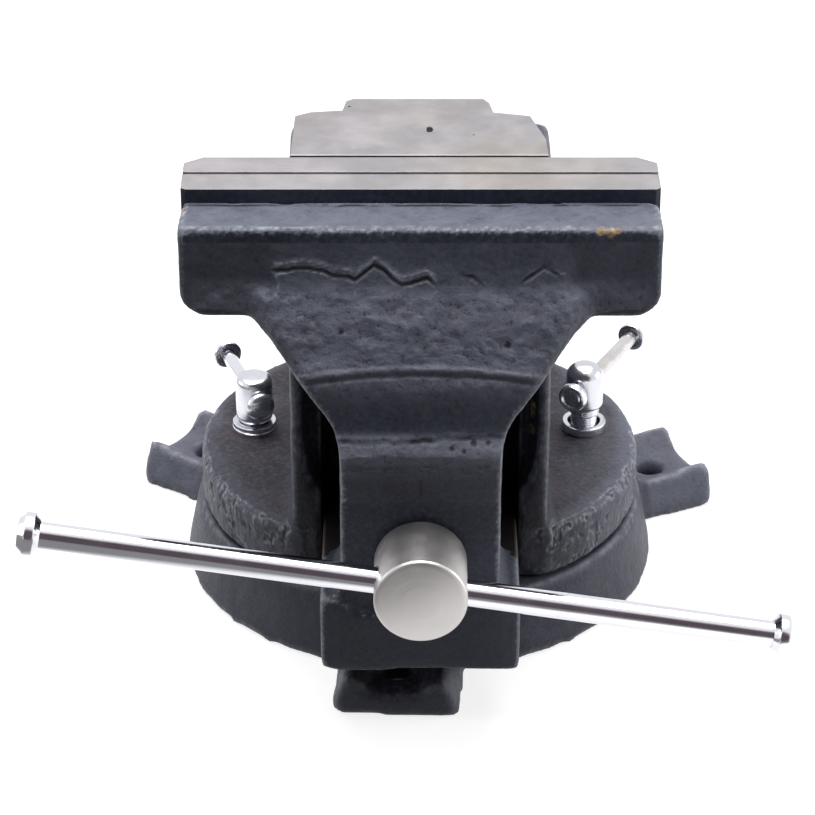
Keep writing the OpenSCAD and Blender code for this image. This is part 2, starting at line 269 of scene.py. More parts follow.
def relax(me, times):
    """Laplacian smoothing."""
    co, e = get_co(me), get_edges(me)
    deg = np.bincount(e.ravel(), minlength=len(co)).clip(1)[:, None]
    for _ in range(times):
        s = np.stack([around(e, co[:, k]) for k in range(3)], 1)
        co = co + 0.5 * (s / deg - co)
    set_co(me, co)


def spread(me, value, times):
    """Averages a value over neighbouring vertices."""
    e = get_edges(me)
    deg = np.bincount(e.ravel(), minlength=len(value)).clip(1)
    for _ in range(times):
        value = 0.5 * value + 0.5 * around(e, value) / deg
    return value


def bulge(me):
    """How far each vertex stands out of its neighbours, in mm, as on a mesh of 1.8 mm squares."""
    co, e, no = get_co(me), get_edges(me), get_no(me)
    n = len(co)
    deg = np.bincount(e.ravel(), minlength=n).clip(1)[:, None]
    s = np.stack([around(e, co[:, k]) for k in range(3)], 1)
    length = np.linalg.norm(co[e[:, 0]] - co[e[:, 1]], axis=1)
    mean = (np.bincount(e[:, 0], length, n) + np.bincount(e[:, 1], length, n)) / deg[:, 0]
    return ((co - s / deg) * no).sum(1) * (1.8 / mean.clip(0.3)) ** 1.6


def put(me, name, value):
    a = me.attributes.get(name) or me.attributes.new(name, "FLOAT", "POINT")
    a.data.foreach_set("value", np.clip(value, 0, 1).astype(np.float32))


def face_out(ob):
    """Drops loose corners and turns all faces outward."""
    bm = bmesh.new()
    bm.from_mesh(ob.data)
    bmesh.ops.delete(bm, geom=[v for v in bm.verts if not v.link_faces], context="VERTS")
    bmesh.ops.recalc_face_normals(bm, faces=bm.faces)
    bm.to_mesh(ob.data)
    bm.free()
    return ob


def revolve(name, profile, at, axis, seg=72, start=0.0):
    """A turned part: profile is [(radius, distance along axis)] from one end to the other."""
    axis = np.array(axis, float) / np.linalg.norm(axis)
    ref = np.array([0, 0, 1.0]) if abs(axis[2]) < 0.9 else np.array([0, 1.0, 0])
    u = np.cross(ref, axis)
    u /= np.linalg.norm(u)
    v = np.cross(axis, u)
    verts, rings, faces = [], [], []
    for r, d in profile:
        if r < 1e-6:
            rings.append([len(verts)])
            verts.append(at + axis * d)
        else:
            rings.append(list(range(len(verts), len(verts) + seg)))
            for k in range(seg):
                t = start + 2 * math.pi * k / seg
                verts.append(at + axis * d + r * (math.cos(t) * u + math.sin(t) * v))
    for a, b in zip(rings, rings[1:]):
        for k in range(seg):
            k2 = (k + 1) % seg
            if len(a) == 1:
                faces.append((a[0], b[k], b[k2]))
            elif len(b) == 1:
                faces.append((a[k2], a[k], b[0]))
            else:
                faces.append((a[k2], a[k], b[k], b[k2]))
    return face_out(new_mesh(name, verts, faces))


def arc(cr, cd, r, a0, a1, n=5):
    """Points of a quarter round in a profile: centre (cr, cd), from angle a0 to a1 in degrees."""
    return [(cr + r * math.cos(math.radians(a0 + (a1 - a0) * k / n)),
             cd + r * math.sin(math.radians(a0 + (a1 - a0) * k / n))) for k in range(n + 1)]


def prism(name, outline, z0, z1):
    """A closed solid from a plan outline, between two heights."""
    n = len(outline)
    verts = [(x, y, z0) for x, y in outline] + [(x, y, z1) for x, y in outline]
    faces = [list(range(n))[::-1], list(range(n, 2 * n))]
    faces += [(k, (k + 1) % n, (k + 1) % n + n, k + n) for k in range(n)]
    return new_mesh(name, verts, faces)


# ---------------- materials

class Graph:
    """Short calls for building a node tree."""

    def __init__(self, tree):
        self.t = tree
        self.t.nodes.clear()

    def add(self, kind):
        return self.t.nodes.new(kind)

    def put(self, socket, value):
        if isinstance(value, bpy.types.NodeSocket):
            self.t.links.new(value, socket)
        else:
            socket.default_value = value

    def span(self, value, a, b, lo=0.0, hi=1.0, shape="SMOOTHSTEP"):
        """Maps a..b to lo..hi, clamped."""
        n = self.add("ShaderNodeMapRange")
        n.interpolation_type = shape
        for key, v in (("Value", value), ("From Min", a), ("From Max", b), ("To Min", lo), ("To Max", hi)):
            self.put(n.inputs[key], v)
        return n.outputs[0]

    def math(self, how, a, b=0.0):
        n = self.add("ShaderNodeMath")
        n.operation = how
        self.put(n.inputs[0], a)
        self.put(n.inputs[1], b)
        return n.outputs[0]

    def mix(self, fac, a, b):
        n = self.add("ShaderNodeMix")
        n.data_type = "RGBA"
        self.put(n.inputs[0], fac)
        self.put(n.inputs[6], a if isinstance(a, bpy.types.NodeSocket) else (*a, 1))
        self.put(n.inputs[7], b if isinstance(b, bpy.types.NodeSocket) else (*b, 1))
        return n.outputs[2]


class Nodes(Graph):
    """Node tree of one procedural material, in the object's own coordinates."""

    def __init__(self, name):
        self.mat = bpy.data.materials.new(name)
        self.mat.use_nodes = True
        super().__init__(self.mat.node_tree)
        self.bsdf = self.add("ShaderNodeBsdfPrincipled")
        self.put(self.add("ShaderNodeOutputMaterial").inputs[0], self.bsdf.outputs[0])
        self.tex = self.add("ShaderNodeTexCoord").outputs["Object"]

    def set(self, **values):
        for key, value in values.items():
            self.put(self.bsdf.inputs[key.replace("_", " ")], value)

    def scaled(self, sx, sy, sz, turn=0.0):
        m = self.add("ShaderNodeMapping")
        m.inputs["Scale"].default_value = (sx, sy, sz)
        m.inputs["Rotation"].default_value = (0, 0, math.radians(turn))
        self.put(m.inputs["Vector"], self.tex)
        return m.outputs[0]

    def noise(self, scale, detail=4.0, rough=0.55, vector=None):
        n = self.add("ShaderNodeTexNoise")
        n.inputs["Scale"].default_value = scale
        n.inputs["Detail"].default_value = detail
        n.inputs["Roughness"].default_value = rough
        self.put(n.inputs["Vector"], vector or self.tex)
        return n.outputs["Fac"]

    def attr(self, name):
        n = self.add("ShaderNodeAttribute")
        n.attribute_name = name
        return n.outputs["Fac"]

    def bump(self, height, distance, strength=1.0, normal=None):
        n = self.add("ShaderNodeBump")
        n.inputs["Strength"].default_value = strength
        n.inputs["Distance"].default_value = distance / MM
        self.put(n.inputs["Height"], height)
        if normal:
            self.put(n.inputs["Normal"], normal)
        return n.outputs[0]


def iron_material():
    """Charcoal paint on sand-cast iron, worn at its edges with a painted highlight there, painted shade in
    hollows and under overhangs, and pale and brown areas, the pale ones partly painted light.
    """
    m = Nodes("cast_iron_paint")
    blotch = m.noise(22, 6, 0.6)
    cloud = m.noise(70, 5, 0.6)
    sand = m.noise(420, 5, 0.65)
    fine = m.noise(1500, 3, 0.6)
    streak = m.noise(170, 5, 0.62, m.scaled(1, 1, 0.4))
    edge, crack_and_hollow_shade, chip = m.attr("edge"), m.attr("crack_and_hollow_shade"), m.attr("chip")
    pale, brown, dim = m.attr("pale"), m.attr("brown"), m.attr("dim")
    sandy, streaky = m.attr("sandy"), m.attr("streaky")
    color = m.mix(m.span(blotch, 0.35, 0.65), (0.021, 0.0245, 0.040), (0.038, 0.043, 0.067))
    # pale is lighter paint in places and painted light in others: the right side of the body and block and
    # the upper side of the jaw's ridge
    color = m.mix(m.math("MULTIPLY", pale, m.span(cloud, 0.25, 0.7, 0.6, 1.0)), color, (0.165, 0.174, 0.222))
    rusty = m.mix(m.span(m.noise(45, 6, 0.65), 0.4, 0.7), (0.024, 0.0187, 0.0215), (0.058, 0.0425, 0.044))
    color = m.mix(m.math("MULTIPLY", brown, 0.85), color, rusty)
    # painted shade: dim darkens the paint nearly to black on the foremost ear, the column's cheeks and the
    # screw panel, which lie in shade
    color = m.mix(m.math("MULTIPLY", dim, 0.88), color, (0.004, 0.0045, 0.007))
    grain = m.math("MULTIPLY", m.span(sand, 0.42, 0.72), m.math("ADD", 0.18, m.math("MULTIPLY", sandy, 0.38)))
    color = m.mix(grain, color, (0.125, 0.133, 0.172))
    dark_grain = m.math("MULTIPLY", m.span(sand, 0.46, 0.30),
                        m.math("ADD", 0.2, m.math("MULTIPLY", sandy, 0.5)))
    color = m.mix(dark_grain, color, (0.014, 0.015, 0.021))
    color = m.mix(m.math("MULTIPLY", m.span(streak, 0.44, 0.62), streaky), color, (0.17, 0.178, 0.21))
    color = m.mix(m.math("MULTIPLY", m.span(streak, 0.44, 0.34), streaky), color, (0.016, 0.016, 0.021))
    # painted highlight along convex edges, which stands for real wear there too
    worn_and_highlit = m.math("MULTIPLY", edge, m.span(m.noise(130, 5, 0.7), 0.3, 0.6, 0.25, 1.0))
    color = m.mix(m.math("MULTIPLY", worn_and_highlit, 0.85), color, (0.30, 0.312, 0.36))
    # this mark darkens real cracks and also paints shade into hollows, creases, pits and crevices
    color = m.mix(crack_and_hollow_shade, color, (0.004, 0.004, 0.006))
    tan = m.mix(m.span(m.noise(500), 0.4, 0.6), (0.46, 0.33, 0.19), (0.22, 0.15, 0.09))
    color = m.mix(m.math("MULTIPLY", chip, m.span(m.noise(340, 4, 0.7), 0.36, 0.44)), color, tan)
    rough = m.math("ADD", m.span(sand, 0.3, 0.7, 0.36, 0.56), m.math("MULTIPLY", brown, 0.15))
    rough = m.math("SUBTRACT", rough, m.math("MULTIPLY", worn_and_highlit, 0.1))
    height = m.math("ADD", m.math("MULTIPLY", sand, m.math("ADD", 0.5, m.math("MULTIPLY", sandy, 1.1))),
                    m.math("MULTIPLY", fine, 0.28))
    height = m.math("ADD", height, m.math("MULTIPLY", m.math("MULTIPLY", streak, streaky), 1.6))
    normal = m.bump(height, 0.55, 0.85, m.bump(cloud, 1.2, 0.4))
    m.set(Base_Color=color, Roughness=rough, Normal=normal, Metallic=0.0)
    m.bsdf.inputs["Specular IOR Level"].default_value = 0.24
    return m.mat


def steel_material(name, base, tint, stain, rough, grind=(1.0, 40.0, 1.0), turn=0.0):
    """Ground or filed steel: fine lines, cloudy stains, small scratches."""
    m = Nodes(name)
    lines = m.noise(60, 3, 0.5, m.scaled(*grind, turn=turn))
    cloud = m.noise(45, 6, 0.62)
    big = m.noise(14, 4, 0.55)
    speck = m.noise(900, 3, 0.6)
    color = m.mix(m.span(cloud, 0.35, 0.68), base, tint)
    color = m.mix(m.math("MULTIPLY", m.span(big, 0.5, 0.74), 0.55), color, stain)
    color = m.mix(m.math("MULTIPLY", m.span(lines, 0.5, 0.72), 0.28), color, tuple(c * 0.55 for c in base))
    color = m.mix(m.span(speck, 0.69, 0.74, 0, 0.6), color, tuple(c * 0.3 for c in stain))
    color = m.mix(m.attr("pit"), color, (0.02, 0.02, 0.025))
    r = m.math("ADD", m.span(cloud, 0.3, 0.7, rough - 0.06, rough + 0.08),
               m.span(lines, 0.35, 0.7, -0.03, 0.05))
    fine = m.math("ADD", lines, m.math("MULTIPLY", speck, 0.3))
    normal = m.bump(fine, 0.05, 0.5, m.bump(cloud, 0.25, 0.35))
    m.set(Base_Color=color, Roughness=r, Normal=normal, Metallic=1.0)
    return m.mat


def plated_material(name, base, dull, rough, wear=0.3, warm=(0.5, 0.42, 0.3), turned=0.0):
    """Plating with faint haze, tiny scratches and a few dull patches; `turned` adds lathe lines across Y."""
    m = Nodes(name)
    haze = m.noise(90, 5, 0.6)
    patch = m.noise(28, 5, 0.6)
    scratch = m.noise(260, 4, 0.7, m.scaled(1, 0.25, 0.6, 24))
    color = m.mix(m.span(patch, 0.48, 0.72, 0, wear), base, dull)
    color = m.mix(m.span(scratch, 0.66, 0.72, 0, wear * 0.7), color, warm)
    low, high = (0.92, 1.1) if turned else (0.7, 1.5)
    r = m.math("ADD", m.span(haze, 0.3, 0.75, rough * low, rough * high),
               m.span(scratch, 0.6, 0.74, 0, rough * 0.4))
    normal = m.bump(haze, 0.06, 0.25, m.bump(scratch, 0.03, 0.3))
    if turned:
        lathe = m.noise(2600, 3, 0.6, m.scaled(0.004, 1, 0.004))
        normal = m.bump(lathe, turned, 1.0, m.bump(scratch, 0.02, 0.2))
    m.set(Base_Color=color, Roughness=r, Normal=normal, Metallic=1.0)
    return m.mat


IRON = iron_material()
STEEL = steel_material("ground_steel", (0.305, 0.290, 0.298), (0.33, 0.314, 0.322),
                       (0.315, 0.286, 0.238), 0.46)
RAIL = steel_material("slide_steel", (0.075, 0.066, 0.064), (0.045, 0.039, 0.038),
                      (0.06, 0.04, 0.03), 0.5, (40.0, 1.0, 1.0))
DARK = steel_material("black_oxide_steel", (0.10, 0.10, 0.105), (0.16, 0.155, 0.15),
                      (0.13, 0.10, 0.075), 0.38, (1.0, 1.0, 12.0))
BRONZE = steel_material("cast_bronze", (0.42, 0.27, 0.10), (0.52, 0.34, 0.14),
                        (0.20, 0.13, 0.06), 0.35, (1.0, 1.0, 1.0))
DARK_NICKEL = steel_material("thread_steel", (0.36, 0.35, 0.33), (0.27, 0.26, 0.24),
                             (0.18, 0.13, 0.09), 0.3, (1.0, 1.0, 1.0))
CHROME = plated_material("chrome_plate", (0.80, 0.80, 0.85), (0.62, 0.61, 0.64), 0.12, 0.22)
ZINC = plated_material("zinc_plate", (0.70, 0.705, 0.75), (0.50, 0.50, 0.53), 0.20, 0.3)
WORN_CHROME = plated_material("worn_chrome", (0.66, 0.64, 0.64), (0.46, 0.42, 0.37), 0.25, 0.7)
NICKEL = plated_material("satin_nickel", (0.56, 0.54, 0.53), (0.50, 0.475, 0.45), 0.40, 0.25,
                         (0.46, 0.42, 0.37), 0.10)


def finish_piece(ob, body, slot, material, *nodes):
    ob.data.materials.clear()
    ob.data.materials.append(material)
    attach(ob, body)
    if nodes:
        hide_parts(*nodes)
    return ob


# ---------------- castings

def spots(co, places):
    """1 inside each of the round spots (x, y, z, radius), with a soft rim."""
    v = np.zeros(len(co))
    for x, y, z, r in places:
        d = np.linalg.norm(co - np.array([x, y, z]), axis=1)
        v = np.maximum(v, 1 - ease(d, r * 0.6, r))
    return v


def wavy_line(a, b, line, width):
    """1 on the line b = line(a), fading over `width`; `line` is a list of (a, b) points."""
    xs, zs = zip(*line)
    d = np.abs(b - np.interp(a, xs, zs))
    ends = ease(a, xs[0] - 1, xs[0] + 3) * ease(a, xs[-1] + 1, xs[-1] - 3)
    return (1 - ease(d, 0.35 * width, width)) * ends


def cast(ob, rough, smooth, sand_mm=0.16, wave_mm=0.35, streaks=None):
    """Sand-cast surface: rounds the edges, then adds lumps where rough is 1."""
    me = ob.data
    relax(me, smooth)
    co, no = get_co(me), get_no(me)
    r = rough(co, no)
    lumps = wave_mm * fbm(co, 26, 3, 5) + sand_mm * fbm(co, 5.5, 3, 11)
    if streaks is not None:
        pocks = fbm(co * np.array([1, 1, 0.7]), 5.0, 3, 13, 0.65)
        lumps = lumps + streaks(co) * (0.3 * fbm(co * np.array([1, 1, 0.4]), 12, 2, 15)
                                       - 0.9 * ease(-pocks, 0.15, 0.5) + 0.35 * ease(pocks, 0.2, 0.5))
    set_co(me, co + no * (lumps * r)[:, None])
    return r


def paint_marks(ob, edge_gain, pale, brown, sandy, streaky, crack_and_hollow_shade=0.0, chip=0.0, dim=0.0, shadow=1.0):
    """Writes what the paint material needs at each vertex: worn edges with a painted highlight, painted shade
    in hollows and under overhangs, and the rest.
    """
    me = ob.data
    b = spread(me, bulge(me), 1)
    # painted highlight on convex edges, together with their wear
    put(me, "edge", edge_gain * ease(b, 0.08, 0.26))
    # painted shade in concave places, scaled by shadow, together with the given cracks
    put(me, "crack_and_hollow_shade", np.maximum(ease(-b, 0.14, 0.45) * 0.75 * shadow, crack_and_hollow_shade))
    plain = {"dim": dim, "pale": pale, "brown": brown, "sandy": sandy, "streaky": streaky, "chip": chip}
    for name, value in plain.items():
        put(me, name, np.broadcast_to(value, len(b)))


def turn_z(co, degrees):
    c, s = math.cos(math.radians(degrees)), math.sin(math.radians(degrees))
    out = co.copy()
    out[:, 0], out[:, 1] = c * co[:, 0] - s * co[:, 1], s * co[:, 0] + c * co[:, 1]
    return out


def make_base():
    """Swivel base: ring with three dished ears."""
    ob = cad_copy("swivel_base", "base_casting")
    voxel(ob, 2.2)
    me = ob.data
    co = get_co(me)
    for a in EAR_ANGLES:
        ear = turn_z(co, -(a + BASE_TURN))
        u, v = ear[:, 0], ear[:, 1]
        across = np.abs(v)
        on_ear = (u > 100) & (across < 34) & (co[:, 2] > 9)
        dish = 12.2 + 6.6 * np.clip(across / 21.0, 0, 1.25) ** 2.2
        rise = ease(u, 116, 140) * 1.6 * ease(across, 9, 19)
        fall = ease(u, 139, 147) * 2.4 * ease(across, 16, 6)
        root = ease(u, 112, 104)
        top = dish + rise - fall + root * 5.0
        near_top = on_ear & (co[:, 2] > 10.0)
        co[:, 2] = np.where(near_top, np.minimum(co[:, 2], np.maximum(top, 10.0)), co[:, 2])
        if a == -90:
            # the foremost ear has round corners
            corner_r = 7.0
            cu = u.max() - corner_r
            cv = across[u > u.max() - 4].max() - corner_r
            du, dv = u - cu, across - cv
            far = np.hypot(du, dv).clip(1e-6)
            pull = np.where((du > 0) & (dv > 0) & (u > 100) & (far > corner_r), corner_r / far, 1.0)
            new_v = np.sign(v) * (cv + dv * np.where(dv > 0, pull, 1))
            ear[:, 0], ear[:, 1] = cu + du * np.where(du > 0, pull, 1), new_v
            co[:, :2] = turn_z(ear, a + BASE_TURN)[:, :2]
        lift = on_ear & (co[:, 2] > 11.5) & (np.abs(v) > 12) & (np.abs(v) < 21)
        co[:, 2] = np.where(lift, np.maximum(co[:, 2], np.minimum(top, 20.0)), co[:, 2])
    set_co(me, co)
    voxel(ob, 1.9)

    def rough(co, no):
        r = np.hypot(co[:, 0], co[:, 1])
        flat_top = (co[:, 2] > 31.0) & (r < 103.5)
        inside = (r < 96) & (co[:, 2] > 1)
        return np.where(flat_top | inside, 0.06, 1.0) * ease(co[:, 2], 0.3, 2.5)

    cast(ob, rough, 4)
    co = get_co(ob.data)
    co[:, 2] = np.maximum(co[:, 2], 0.0)
    set_co(ob.data, co)
    no = get_no(ob.data)
    side = (np.hypot(co[:, 0], co[:, 1]) > 101) & (np.abs(no[:, 2]) < 0.6)
    r = np.hypot(co[:, 0], co[:, 1])
    ear = ease(r, 110, 116)
    level = ease(no[:, 2], 0.5, 0.9)
    pale = 0.30 + ear * (0.58 - 0.25 * level)
    # painted shade on the foremost ear under the slide block: dimmed, with no paleness and a weaker edge
    # highlight
    front = ease(co[:, 1], -106, -112)
    paint_marks(ob, 0.9 * (1 - 0.6 * front), pale * (1 - front), 0.25 * (1 - ear) + 0.35 * ear * level,
                0.3 + 0.5 * ear * level, np.where(side, 0.10, 0.05) * ease(co[:, 2], 2, 12), dim=0.55 * front)
    shade(ob)
    return finish_piece(ob, "base_ring", "black_iron", IRON, "swivel_base")


def make_body():
    """Swivelling body: flange, column, fixed jaw and tail."""
    ob = cad_copy("vise_body", "body_casting")
    fills = []
    for s in (-1, 1):
        curve = [(51.5, 112), (50.2, 97), (48.4, 88), (46.0, 81.5), (44.6, 77), (44.0, 73)]
        outline = [(s * x, z) for x, z in curve] + [(s * 55, 73), (s * 55, 112)]
        if s > 0:
            outline = outline[::-1]
        n = len(outline)
        verts = [(x, -83.9, z) for x, z in outline] + [(x, -74.0, z) for x, z in outline]
        faces = [list(range(n)), list(range(n, 2 * n))[::-1]]
        faces += [((k + 1) % n, k, k + n, (k + 1) % n + n) for k in range(n)]
        fills.append(new_mesh("fill", verts, faces))
    ob = join("body_casting", [ob] + fills)
    voxel(ob, 2.2)
    me = ob.data
    co = get_co(me)
    r = np.hypot(co[:, 0], co[:, 1])
    flange_r, flange_top = 101.5, 60.0
    t = np.clip(r - (flange_r - 9), 0, 9)
    skirt = flange_top - 5.5 * (1 - np.sqrt(1 - (t / 9.01) ** 2))
    column = (np.abs(co[:, 0]) < 57.5) & (co[:, 1] < 89)
    round_off = (~column) & (co[:, 2] > 50) & (co[:, 2] < 62)
    co[:, 2] = np.where(round_off, np.minimum(co[:, 2], skirt), co[:, 2])
    set_co(me, co)
    voxel(ob, 2.0)

    def rough(co, no):
        under = co[:, 2] < 34.6
        jaw_seat = (co[:, 2] > 196) & (co[:, 1] > -86) & (co[:, 1] < -64)
        top = co[:, 2] > 219
        bay = (np.abs(co[:, 0]) < 46) & (co[:, 2] < 106) & (co[:, 2] > 36)
        calm = bay | under | jaw_seat | top
        return np.where(calm, 0.08, 1.0) * np.where(co[:, 1] < -82, 0.55, 1.0)

    def fine_zone(co, no):
        flange = (np.hypot(co[:, 0], co[:, 1]) > 57) & (co[:, 2] > 35) & (co[:, 2] < 63)
        corners = (np.abs(co[:, 0]) > 50) & (co[:, 1] < -68) & (co[:, 2] < 196) & (co[:, 2] > 56)
        return flange | corners

    relax(ob.data, 1)
    refine(ob, fine_zone)
    cast(ob, rough, 3, streaks=lambda co: ease(np.hypot(co[:, 0], co[:, 1]), 93, 99) * (co[:, 2] < 58))
    co, no = get_co(ob.data), get_no(ob.data)
    r = np.hypot(co[:, 0], co[:, 1])
    flange_side = (r > 92) & (co[:, 2] < 60) & (np.abs(no[:, 2]) < 0.85)
    flange_top_face = (np.abs(no[:, 2]) > 0.8) & (co[:, 2] > 55) & (co[:, 2] < 62)
    chip = spots(co, [(-47.3, -75.3, 126.0, 3.2), (53.0, -75, 128, 2.2), (50.2, -76.5, 118, 2.4),
                      (50.0, -76.5, 114, 2.0), (50.4, -76, 106, 2.6)])
    soft = ease(r + 4 * fbm(co, 14, 3, 71), 90, 97)
    # painted light: the right side is made paler and less brown, as if lit more strongly from that side
    right = ease(co[:, 0], 40, 85)
    brown = np.where(flange_top_face, 1 - 0.5 * soft - 0.3 * right, 0.15)
    pale = np.where(flange_side, 0.42 + 0.2 * right, 0.04)
    pale = np.where(flange_top_face, 0.2 * soft + 0.4 * right, pale)
    # painted shade on the column's front cheeks under the overhanging jaw head
    cheek = ease(co[:, 1], -60, -78) * ease(co[:, 2], 150, 120) * ease(no[:, 1], -0.3, -0.8)
    paint_marks(ob, 1.2, pale, brown, np.where(flange_top_face, 0.9, 0.4), np.where(flange_side, 0.4, 0.0),
                chip=chip, dim=0.9 * cheek, shadow=np.where(flange_side, 0.45, 1.0))
    shade(ob)
    return finish_piece(ob, "vise", "black_iron", IRON, "vise_body")


def neck_half_width(z):
    """Half width of the neck from the front: panel, fillet, straight flank, fillet, jaw head."""
    foot_z, root_z, foot_half, root_half = 142.5, 190.0, 34.0, 70.0
    foot_r, root_r = 30.0, 32.0
    slope = (root_half - foot_half) / (root_z - foot_z)
    # distance from a corner of the outline to the ends of its fillet
    foot_reach = foot_r * np.tan(np.arctan(slope) / 2)
    root_reach = root_r * np.tan((np.pi / 2 - np.arctan(slope)) / 2)
    along = np.cos(np.arctan(slope))
    line = foot_half + slope * (z - foot_z)
    up = np.clip(z - foot_z + foot_reach, 0, foot_r)
    foot = foot_half + foot_r - np.sqrt(foot_r ** 2 - up ** 2)
    down = np.clip(z - root_z + root_r, 0, root_r)
    root = root_half + root_reach - np.sqrt(root_r ** 2 - down ** 2)
    half = np.where(z < root_z - root_reach * along, line, root)
    half = np.where(z < foot_z + foot_reach * along, foot, half)
    return np.where(z > root_z, 98.0, half)


def make_jaw():
    """Movable jaw casting: head, flared neck, ridge, screw panel and slide block."""
    ob = cad_copy("movable_jaw", "jaw_casting")
    voxel(ob, 2.2)
    me = ob.data
    co = get_co(me)
    x, y, z = co.T
    ax = np.abs(x)
    # the neck's edges are cut back to a wide flank that dies out into the jaw head
    hw = neck_half_width(z)
    edge_x = np.interp(z, (142, 184, 210), (33, 58, 68))
    flank = np.clip(ax - np.minimum(hw - 0.5, edge_x), 0, None)
    front = np.interp(z, (50, 115, 122, 132, 139, 144, 166, 180, 200, 212, 223),
                      (-149.5, -149.9, -151.4, -153.5, -152, -148.4, -146, -140, -131, -126.5, -124.5))
    limit = np.minimum(front + flank * 1.0, -124.5)
    limit = np.where(z < 150, front + flank * 0.7, limit)
    neck = (z > 112) & (z < 222) & (y < -118)
    y = np.where(neck, np.maximum(y, limit), y)
    # the panel stands back from the block below it, in a pocket with round lower corners
    foot = 58.0 + 5 * np.clip((ax - 26) / 8, 0, 1) ** 2 + 3 * ease(x, 4, 20)
    panel = (ax < 35) & (z > foot) & (z < 113) & (y < -147)
    y = np.where(panel, np.maximum(y, -148.2), y)
    co = np.stack([x, y, z], 1)
    set_co(me, co)
    voxel(ob, 1.75)
    me = ob.data
    co = get_co(me)
    # a rounded ridge over the screw panel
    swell = 1.3 * np.exp(-((co[:, 2] - 133.5) / 5.5) ** 2) * ease(np.abs(co[:, 0]), 37, 30)
    co[:, 1] -= np.where((co[:, 1] < -145) & (co[:, 2] > 114), swell, 0)
    # the lower edge of the block is not quite straight
    sag = 1.3 * ease(co[:, 0], -42, -34) * ease(co[:, 0], -8, -18) + 0.7 * ease(co[:, 0], 4, 30)
    co[:, 2] += np.where(co[:, 1] < -113, (1.2 - sag) * ease(co[:, 2], 46, 38), 0)
    set_co(me, co)
    relax(me, 1)
    refine(ob, lambda co, no: (co[:, 1] < -112) & (no[:, 1] < 0.3) | (co[:, 2] > 216) & (no[:, 2] > 0.3))
    me = ob.data
    relax(me, 3)
    co, no = get_co(me), get_no(me)
    x, y, z = co.T
    ax = np.abs(x)
    front_face = ease(-no[:, 1], 0.2, 0.6)
    hw = neck_half_width(z)
    neck_sand = ease(z, 152, 168) * ease(z, 207, 198) * ease(ax, hw + 2, hw - 8)
    ridge_sand = ease(z, 124, 129) * ease(z, 146, 141)
    sandy = np.maximum(neck_sand, 0.8 * ridge_sand) * front_face
    seats = (z > 186) & (y > -100.5) | (z > 186) & (y > -90)
    low = (z < 66) & (y > -113.5)
    calm = seats | low
    amount = np.where(calm, 0.05, 1.0)
    lumps = 0.42 * fbm(co, 30, 3, 21) + 0.2 * fbm(co, 6, 4, 31, 0.7)
    flakes = 1 - 2.2 * np.abs(fbm(co * np.array([1, 1, 1.25]), 11.0, 3, 43, 0.55))
    lumps += sandy * (0.9 * fbm(co, 12.0, 3, 41, 0.6) + 0.45 * flakes + 0.2 * fbm(co, 2.8, 2, 51))
    # ledge where the sandy face stops under the jaw head, and the crease lower down
    ledge_l = [(-62, 209), (-48, 211), (-27, 206), (-19, 212), (-8, 204), (3, 207), (7, 204)]
    ledge_r = [(16, 208), (22, 207), (27, 203)]
    ledge_rr = [(41, 205), (51, 211), (58, 207)]
    crease_z = 170 - 4 * (x / 52) ** 2
    lip_z = 142 + np.sin(x / 14)
    fr = (no[:, 1] < -0.25).astype(float)
    cracks_and_shade = np.zeros(len(co))
    wobble = 0.9 * fbm(co * np.array([1, 0, 0]), 5, 3, 61, 0.7)
    thin = 0.55 + 0.45 * ease(fbm(co, 9, 2, 63), -0.2, 0.3)
    for line, width, depth in ((ledge_l, 1.15, 0.8), (ledge_r, 1.0, 0.5), (ledge_rr, 1.1, 0.6)):
        c = wavy_line(x, z + wobble, line, width) * fr * thin
        lumps -= depth * c
        cracks_and_shade = np.maximum(cracks_and_shade, c)
    lip = (1 - ease(np.abs(z + wobble - lip_z), 0.45, 1.3)) * ease(ax, 36, 32) * fr * thin
    lumps -= 0.4 * lip
    cracks_and_shade = np.maximum(cracks_and_shade, lip)
    lumps += 0.5 * wavy_line(x, z + wobble - 1.9, ledge_l, 2.4) * fr
    across = ease(ax, 53, 49) * fr
    cr = (1 - ease(np.abs(z - crease_z), 0.6, 1.8)) * across
    over = (1 - ease(np.abs(z - 1.6 - crease_z), 0.8, 2.2)) * across
    lumps += 0.7 * over - 0.4 * cr
    pits = np.zeros(len(co))
    for px, pz, pr in ((13, 139, 1.3), (18, 138, 1.0), (22, 141, 1.6), (28, 141, 1.1), (36, 181, 1.5),
                       (-33, 186, 1.2)):
        pits = np.maximum(pits, (1 - ease(np.hypot(x - px, z - pz), 0.6 * pr, pr)) * fr)
    lumps -= 0.6 * pits
    stem = (1 - ease(ax, 0.4, 1.1)) * ease(z, 113, 116) * ease(z, 125, 122) * fr
    # the stem is a real crack; the pits and the crease get painted shade
    cracks_and_shade = np.maximum(cracks_and_shade, np.maximum(0.9 * stem, np.maximum(0.8 * pits, 0.35 * cr)))
    # the shelf under the jaw plate is rougher
    amount = amount * np.where(calm, 1.0, 1.0 + 0.8 * ease(z, 218, 222))
    co = co + no * (lumps * amount)[:, None]
    # a bead of thick paint along the foot of the jaw plate
    bead = ease(co[:, 1], PLATE_FRONT - 3.0, PLATE_FRONT - 0.8) * (z > 219) * (no[:, 2] > 0.4)
    co[:, 2] += bead * (0.9 + 1.6 * fbm(co * np.array([1, 0.3, 0]), 11, 3, 95, 0.6)).clip(0, 2)
    set_co(me, co)
    co, no = get_co(me), get_no(me)
    lo, hi = node_box("movable_jaw")
    co = np.clip(co, lo - 0.3, hi)
    set_co(me, co)
    chip = spots(co, [(74, -123, 225.5, 2.4), (78, -123.5, 225, 2.6), (81, -123, 225.5, 1.7),
                      (-99, -108, 227, 2.2)])
    shelf = (co[:, 2] > 220) & (no[:, 2] > 0.55)
